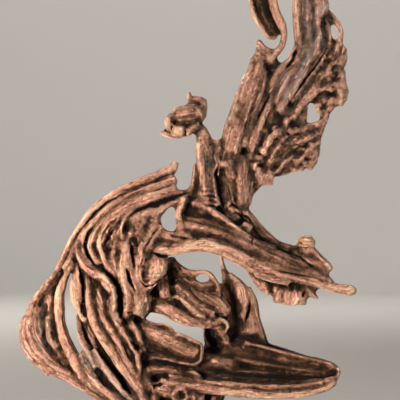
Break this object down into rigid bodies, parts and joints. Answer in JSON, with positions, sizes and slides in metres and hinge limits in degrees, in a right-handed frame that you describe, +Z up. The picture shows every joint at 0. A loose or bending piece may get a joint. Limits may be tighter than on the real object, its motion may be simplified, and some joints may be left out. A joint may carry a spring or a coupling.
{
  "type": "driftwood horse head sculpture",
  "caption": "Weathered driftwood root shaped like a horse's head with an open mouth, a ribbed curling mane and a tall ragged crest, standing on a low oval wooden base.",
  "frame": {"origin": "centre of the base's underside", "axes": "+Z up. Seen along +Y, the muzzle points to +X and the mane curls to -X"},
  "size_m": [0.6772, 0.23, 0.9409],
  "materials": {
    "driftwood": "weathered, matt in the hollows with a dull waxed sheen on the ridges",
    "base_wood": "dark stained, satin"
  },
  "bodies": {
    "root": {"driftwood": "driftwood", "base": "base_wood"}
  },
  "joints": []
}
